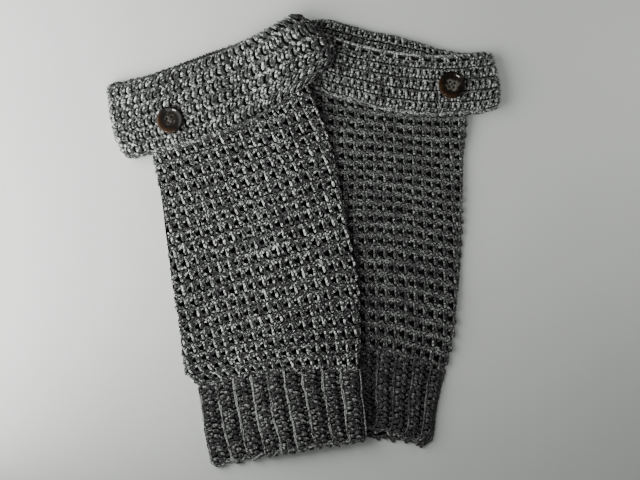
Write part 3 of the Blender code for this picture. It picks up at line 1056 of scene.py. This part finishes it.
def band_stitches(side):
    """The dense rows of one band, from the hem over the fold and down inside."""
    ring = Ring(side.band, BAND_HEIGHT, side.ground, side.band_insets, behind=side.band_back)
    around, lines, seed = side.band_columns, np.array(side.lines), side.seed + 5
    row_at = np.arange(-1, len(lines) - 1)

    def to_cloth(u, v, height):
        run = np.interp(v, row_at, lines)
        share, depth = band_profile(run + side.bend(u / around, run), height - BAND_FOOT)
        return press(ring.place(share, u / around, depth), side.button)

    def along(cell, start=0.0, columns=1, foot=BAND_FOOT):
        """A row of cells that starts so far from the hem, each as wide as some columns."""

        def to_row(u, v, height):
            share, depth = band_profile(start + v * cell[1], height - foot)
            return ring.place(share, columns * u / around, depth)

        return to_row

    under_hem = along(EDGE_CELL, foot=UNDER_HEM)
    for part in front_and_back(around, 3):
        cells = grid(part.columns, (-1, len(lines) - 2))
        middle = np.interp(cells[:, 1] + 0.5, row_at, lines)
        middle = middle + side.bend(cells[:, 0] / around, middle)
        shown = middle > 4.0
        edge = hem = grid(part.columns, (0, 1))
        # Painted shade and light: stitches that turn down inside the fold are darker, but for a little paler ones on
        # the right band's back, and the left band's right end, where it bends away, is darker.
        inside = smooth_step((middle - BAND_DEPTH + 1) / 6)
        if side.windows:
            form, cell, hem_tone = band_stitch, BAND_CELL, 0.2
            closed = np.abs(cells[:, 0] / around - CLOSED_AT) < CLOSED_REACH
            shown &= closed | (np.abs(middle - WINDOWS_FROM - 3.0) > 2.4)
            shade = (-0.2 if part.fine else 0.02) * inside
        else:
            form, cell, hem_tone = full_stitch, FULL_CELL, 0.0
            hem = hem[(hem[:, 0] < 0.14 * around) | (hem[:, 0] > around // 2)]
            shade = -0.2 * inside - 0.35 * smooth_step((cells[:, 0] / around - 0.41) / 0.07)
        found = [
            repeat(form(part.fine), cell, cells[shown], to_cloth, seed, shade=shade[shown]),
            repeat(edge_loops(part.fine, 1.0, hem_tone), EDGE_CELL, hem, along(EDGE_CELL), seed, 0.6),
            repeat(edge_loops(part.fine, 1.3, -0.1), EDGE_CELL, edge, under_hem, seed + 6, 0.5),
        ]
        if side.windows:
            gaps = grid([column // 2 for column in part.columns], (0, 1))
            gaps = gaps[np.abs(2 * gaps[:, 0] / around - CLOSED_AT) > CLOSED_REACH]
            on_windows = along(WINDOW_CELL, WINDOWS_FROM, 2)
            found.append(repeat(window_stitch(part.fine), WINDOW_CELL, gaps, on_windows, seed + 1, 0.2))
        yield stitch_piece(side, "band", part.name, found)


HEM_LOOPS = 3  # loops of the hem to each rib
SCALLOP = 0.035  # how far the hem dips below each rib, as a share of the cuff's depth

# The loops of the right cuff's hem that take a paler wool, as painted light where the hem curls up to the lamp
PAINTED_LIT_FROM, PAINTED_LIT_TO = 14, 22


def rib_relief(around_ribs):
    """How far a rib rises, from 0 at its lowest to 1 at its crest."""
    return 0.5 + 0.5 * np.cos(2 * pi * (around_ribs % 1.0 - 0.30))


def cuff_stitches(side):
    """The ribs of one cuff, the light lines between them and the loops along its hem."""
    ring = Ring(side.cuff, CUFF_HEIGHT, side.ground, side.cuff_insets, behind=side.cuff_back)
    seed, right = side.seed + 9, side.name == "right"
    half = len(side.rib_lines) - 1
    ribs, last_line = 2 * half, side.rib_lines[-1] / 2
    back_lines = last_line + (1 - last_line) * np.arange(1, half + 1) / half
    turn = np.concatenate((np.array(side.rib_lines) / 2, back_lines))

    def around(u):
        return np.interp(u % ribs, np.arange(ribs + 1), turn) + np.floor(u / ribs)

    def to_cloth(u, v, height):
        share, relief = v / side.rib_rows, rib_relief(u)
        scallop = SCALLOP * (relief - 0.4) * (1 - smooth_step(share * 4))
        wave = 0.05 * value_noise(u * 0.9 + 3, v * 0.32, seed + 4)
        depth = YARN_DEPTH - 0.7 - height - RIB_HEIGHT * (relief - 1.0)
        return ring.place(share - scallop, around(u + wave), depth)

    def on_hem(u, v, height):
        u = u / HEM_LOOPS
        relief = rib_relief(u)
        share = (v * EDGE_CELL[1] - 0.4) / CUFF_DEPTH - SCALLOP * (relief - 0.4)
        depth = YARN_DEPTH - 0.4 - height - RIB_HEIGHT * (relief - 1.0)
        return ring.place(share, around(u), depth)

    for part in front_and_back(ribs, 1):
        cells = grid(part.columns, (0, side.rib_rows))
        faded = 0.6 * value_noise(cells[:, 0] * 1.7, cells[:, 1] * 0.45, seed + 7)
        shade = 0.0
        # Painted shadow of the left leg warmer on the right cuff
        if right:
            share = (cells[:, 1] + 0.5) / side.rib_rows
            shade = painted_shadow_of_left_one(ring, share, around(cells[:, 0] + 0.5))
        rib, line = rib_stitch(part.fine), rib_line(part.fine, side.line_tone)
        found = [
            repeat(rib, RIB_CELL, cells, to_cloth, seed, 0.45, shade),
            repeat(line, RIB_CELL, cells, to_cloth, seed, 0.4, faded + shade),
        ]
        hem = grid([HEM_LOOPS * column for column in part.columns], (0, 1))
        # Painted light: these hem loops get the left leg's paler wool.
        if right and part.name == "front":
            painted_lit_loops = (hem[:, 0] > PAINTED_LIT_FROM) & (hem[:, 0] < PAINTED_LIT_TO)
            pale = repeat(edge_loops(part.fine, 0.9, 0.1), EDGE_CELL, hem[painted_lit_loops], on_hem, seed, 0.5)
            yield mesh_piece("right_cuff_stitches_hem", [pale], WOOL["left_leg"], "rib_wool")
            hem = hem[~painted_lit_loops]
        found.append(repeat(edge_loops(part.fine, 0.85, 0.4), EDGE_CELL, hem, on_hem, seed, 0.5))
        yield stitch_piece(side, "cuff", part.name, found)


# The buttons

# (radius, height) of a button's outline, from the middle of its top to the middle of its underside
BUTTON_OUTLINE = (
    (0.0, 2.87), (6.0, 2.87), (7.7, 2.91), (8.8, 3.01), (9.1, 3.0575), (10.2, 3.2317), (10.5, 3.2792),
    (10.8, 3.3), (11.1, 3.2792), (11.4, 3.2317), (11.9, 3.1525), (12.15, 3.0), (12.4, 2.6), (12.5, 2.0),
    (12.3, 1.2), (11.4, 0.6), (9.5, 0.2), (6.0, 0.0), (0.0, 0.0),
)
BUTTON_STEPS = 72
HOLE_RADIUS, HOLE_FROM_MIDDLE = 1.3, 3.1

# (distance from the button's middle, height) along one crossing of its thread
THREAD_PATH = ((-2.1, 0.4), (-2.05, 2.2), (-1.6, 3.0), (0, 3.05), (1.6, 3.0), (2.05, 2.2), (2.1, 0.4))
THREAD_RADIUS = 0.18


def hole_angle(k):
    return radians(45 + 90 * k)


def turned_disc(name):
    """The button's outline turned into a closed solid."""
    shape = bmesh.new()
    rings = []
    for radius, z in BUTTON_OUTLINE:
        angles = [2 * pi * k / BUTTON_STEPS for k in range(BUTTON_STEPS if radius else 1)]
        rings.append([shape.verts.new((radius * cos(a), radius * sin(a), z)) for a in angles])
    for low, high in zip(rings, rings[1:]):
        for k in range(BUTTON_STEPS):
            n = (k + 1) % BUTTON_STEPS
            corners = [low[k % len(low)], low[n % len(low)], high[n % len(high)], high[k % len(high)]]
            shape.faces.new(list(dict.fromkeys(corners)))
    mesh = bpy.data.meshes.new(name)
    close_mesh(shape, mesh)
    return add_object(name, mesh)


def cut_holes(disc):
    """Cuts the four holes, and gives back the disc's new mesh."""
    cutters = []
    for k in range(4):
        x, y = HOLE_FROM_MIDDLE * cos(hole_angle(k)), HOLE_FROM_MIDDLE * sin(hole_angle(k))
        at = (x, y, 1.5)
        bpy.ops.mesh.primitive_cylinder_add(vertices=24, radius=HOLE_RADIUS, depth=12, location=at)
        cutters.append(bpy.context.object)
        disc.modifiers.new("hole", "BOOLEAN").object = cutters[-1]
    bpy.context.view_layer.update()
    solid = bpy.data.meshes.new_from_object(disc.evaluated_get(bpy.context.evaluated_depsgraph_get()))
    disc.modifiers.clear()
    disc.data = solid
    for cutter in cutters:
        bpy.data.objects.remove(cutter)
    return solid


def button(side):
    """A turned disc with a raised rim and a dished middle, and four holes."""
    disc = turned_disc(f"{side.name}_button_disc")
    solid = cut_holes(disc)
    angle = radians(side.turn)
    points = np.array([v.co for v in solid.vertices])
    x, y, z = points.T
    radius = np.hypot(x, y)
    # towards is largest on the rim's side that faces the lower-left lamps, whatever the button's turn; the painted
    # glow of light through the horn goes there.
    towards = np.cos(np.arctan2(y, x) + angle - radians(225))
    # The paleness is mostly a painted reflection in the dished middle.
    for name, values in (
        ("haze", side.haze + side.cloud * smooth_step((7.4 - radius) / 3.6)),
        ("amber", smooth_step((radius - 7.0) / 3.5) * smooth_step((towards - 0.05) / 0.8)),
    ):
        fill(solid.attributes.new(name, "FLOAT", "POINT").data, "value", values)
    turned_x = x * cos(angle) - y * sin(angle) + side.button[0] - ORIGIN[0]
    turned_y = x * sin(angle) + y * cos(angle) + side.button[1] - ORIGIN[1]
    fill(solid.vertices, "co", np.stack((turned_x, turned_y, z + BUTTON_LOW), 1) * MM)
    solid.update()
    solid.shade_smooth()
    solid.set_sharp_from_angle(angle=radians(40))
    solid.materials.clear()
    solid.materials.append(HORN)
    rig.ride(disc, "root")
    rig.slot(disc, "horn")
    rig.replaces(disc, f"{side.name}_button")


def button_thread(side):
    """The sewing thread that crosses between the four holes, with one pair over the other."""
    crossings = []
    for k, beside, lift in ((0, -0.25, 0.0), (1, -0.25, 0.3), (0, 0.25, 0.0), (1, 0.25, 0.3)):
        angle = radians(45 + 90 * k + side.turn)
        along = np.array((cos(angle), sin(angle)))
        over = np.array((-sin(angle), cos(angle)))
        path = [
            (*(along * reach + over * beside), z + (lift if abs(reach) < 1.8 else 0))
            for reach, z in THREAD_PATH
        ]
        crossings.append(strand(bent(16, *path), THREAD_RADIUS, 8, -0.2))
    thread = stitch(*crossings)
    offset = np.array((side.button[0] - ORIGIN[0], side.button[1] - ORIGIN[1], BUTTON_LOW))
    found = ((thread.points + offset) * MM, thread.faces, thread.lengths, thread.turns, thread.tones)
    mesh_piece(f"{side.name}_button_thread", [found], WOOL["left_leg"], "band_wool")


# The stage

FLOOR_REACH = 3.0
CAMERA_DISTANCE, SCALE_HEIGHT = 1.6, 0.008  # the picture's scale is that of the photo at this height
SENSOR_WIDTH = 36.0
PHOTO_WIDTH, MIDDLE_COLUMN = 640, 304.5  # pixels of the photo, and its column at the frame's middle

# Name, place, point that it shines at, size and power
LAMPS = (
    ("window", (-0.42, 0.18, 0.26), (-0.1, 0.393, 0), (0.78, 0.531), 5.9),
    ("top_right", (0.415, 0.16, 0.207), (0.12, 0.05, 0), (0.3, 0.3), 0.35),
    ("left_glint", (-0.782, -0.586, 3.2), (-0.483, 0.156, 0), (0.36, 0.05), 8.0),
    ("right_glint", (-0.186, -0.377, 3.2), (0.273, 0.279, 0), (0.36, 0.05), 4.0),
)


def make_stage():
    floor_mesh = bpy.data.meshes.new("floor")
    corners = [(x * FLOOR_REACH, y * FLOOR_REACH, 0) for x, y in ((-1, -1), (1, -1), (1, 1), (-1, 1))]
    floor_mesh.from_pydata(corners, [], [(0, 1, 2, 3)])
    floor_mesh.materials.append(pale_floor("pale_floor"))
    floor = add_object("floor", floor_mesh)
    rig.stage(floor)
    world = bpy.data.worlds.new("soft_room")
    world.use_nodes = True
    background = world.node_tree.nodes["Background"]
    background.inputs["Color"].default_value = (0.95, 0.98, 1.0, 1.0)
    background.inputs["Strength"].default_value = 0.03
    bpy.context.scene.world = world
    for name, place, target, size, power in LAMPS:
        lamp_data = bpy.data.lights.new(name, "AREA")
        lamp_data.shape = "RECTANGLE"
        lamp_data.size, lamp_data.size_y = size
        lamp_data.energy = power
        lamp = add_object(name, lamp_data)
        lamp.location = place
        direction = np.array(target, float) - np.array(place, float)
        lamp.rotation_euler = Vector(direction).to_track_quat("-Z", "Y").to_euler()
    camera_data = bpy.data.cameras.new("camera")
    camera_data.sensor_width = SENSOR_WIDTH
    camera_data.lens = SENSOR_WIDTH * CAMERA_DISTANCE / (PHOTO_WIDTH * PIXEL * MM)
    camera = add_object("camera", camera_data)
    x = (PHOTO_WIDTH / 2 - MIDDLE_COLUMN) * PIXEL * MM - ORIGIN[0] * MM
    camera.location = (x, -ORIGIN[1] * MM, CAMERA_DISTANCE + SCALE_HEIGHT)
    bpy.context.scene.camera = camera


# What the two leg warmers differ in:
# lies_on has what the leg, the band and the cuff lie on beside the table;
# hidden has shares of the band's depth, and how far the leg draws in there at its left and right;
# lines has where the rows of the band meet, in millimetres of cloth from its hem;
# rib_lines has how far round the front of the cuff the light lines between the ribs lie.
# line_tone is how pale the lines between the ribs are; the right cuff's lower one is painted shade.
LEFT = SimpleNamespace(
    name="left", seed=11, ground=on_right_one,
    lies_on=(("right_leg_tube", "right_top_band"), ("right_top_band",), ("right_rib_cuff",)),
    button=(-123.0, 110.0), turn=20, cloud=0.36, haze=0.0,
    tube=LEFT_TUBE, rows=LEFT_ROWS, columns=37, row_count=22, thick=0.97, stretched=False,
    corners=Corners(left=7.0, right=1.5, fuller=2.6),
    hidden=((0.12, 24, 8), (0.3, 18, 9), (0.45, 11, 8), (0.56, 7, 7)),
    band=LEFT_BAND, hem=LEFT_HEM, band_columns=60,
    lines=(-8, 2, 12.2, 22.1, 32, 42, 52, 62, 72, 81, 90, 99),
    bend=left_bend, windows=False, band_insets=fuller_corner_insets, band_back=own_back,
    cuff=LEFT_CUFF,
    rib_lines=(0, 0.108, 0.213, 0.314, 0.41, 0.51, 0.62, 0.735, 0.84, 0.97),
    rib_rows=14, line_tone=0.55,
    cuff_insets=left_cuff_insets, cuff_back=own_back,
)
RIGHT = SimpleNamespace(
    name="right", seed=51, ground=on_table,
    lies_on=((), (), ()),
    button=(135.0, 142.0), turn=-12, cloud=0.38, haze=0.09,
    tube=RIGHT_TUBE, rows=RIGHT_ROWS, columns=36, row_count=23, thick=0.94, stretched=True,
    corners=Corners(left=1.0, right=3.0, fuller=0.0),
    hidden=((0.12, 17, 28), (0.3, 13, 22), (0.45, 8, 14), (0.56, 6, 9)),
    band=RIGHT_BAND, hem=RIGHT_HEM, band_columns=68,
    lines=(-8, 4, 15.4, 26.8, 38.2, 49.4, 56.6, 65, 72, 79, 86, 93),
    bend=no_bend, windows=True, band_insets=corner_insets, band_back=right_back,
    cuff=RIGHT_CUFF,
    rib_lines=(0, 0.11, 0.22, 0.33, 0.43, 0.54, 0.65, 0.76, 0.87, 0.98),
    rib_rows=13, line_tone=0.12,
    cuff_insets=right_cuff_insets, cuff_back=closer_back,
)


def main():
    make_stage()
    for side in (LEFT, RIGHT):
        under = side.lies_on
        leg, mesh = leg_base(side), list(leg_stitches(side))
        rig.sheet(leg, flat=(0.325, 0.29), held="laid", rests_on=under[0], with_pieces=mesh)
        flap, dense = band_base(side), list(band_stitches(side))
        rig.sheet(flap, flat=(0.42, 0.1), held="folded", rests_on=under[1], with_pieces=dense)
        ankle, ribbed = cuff_base(side), list(cuff_stitches(side))
        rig.sheet(ankle, flat=(0.285, 0.072), held="laid", rests_on=under[2], with_pieces=ribbed)
    for side in (LEFT, RIGHT):
        button(side)
    for side in (LEFT, RIGHT):
        button_thread(side)


main()
low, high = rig.bounds()
with open("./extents.json", "w") as out:
    json.dump({"cad": [list(CAD_LOW), list(CAD_HIGH)], "visual": [list(low), list(high)]}, out)
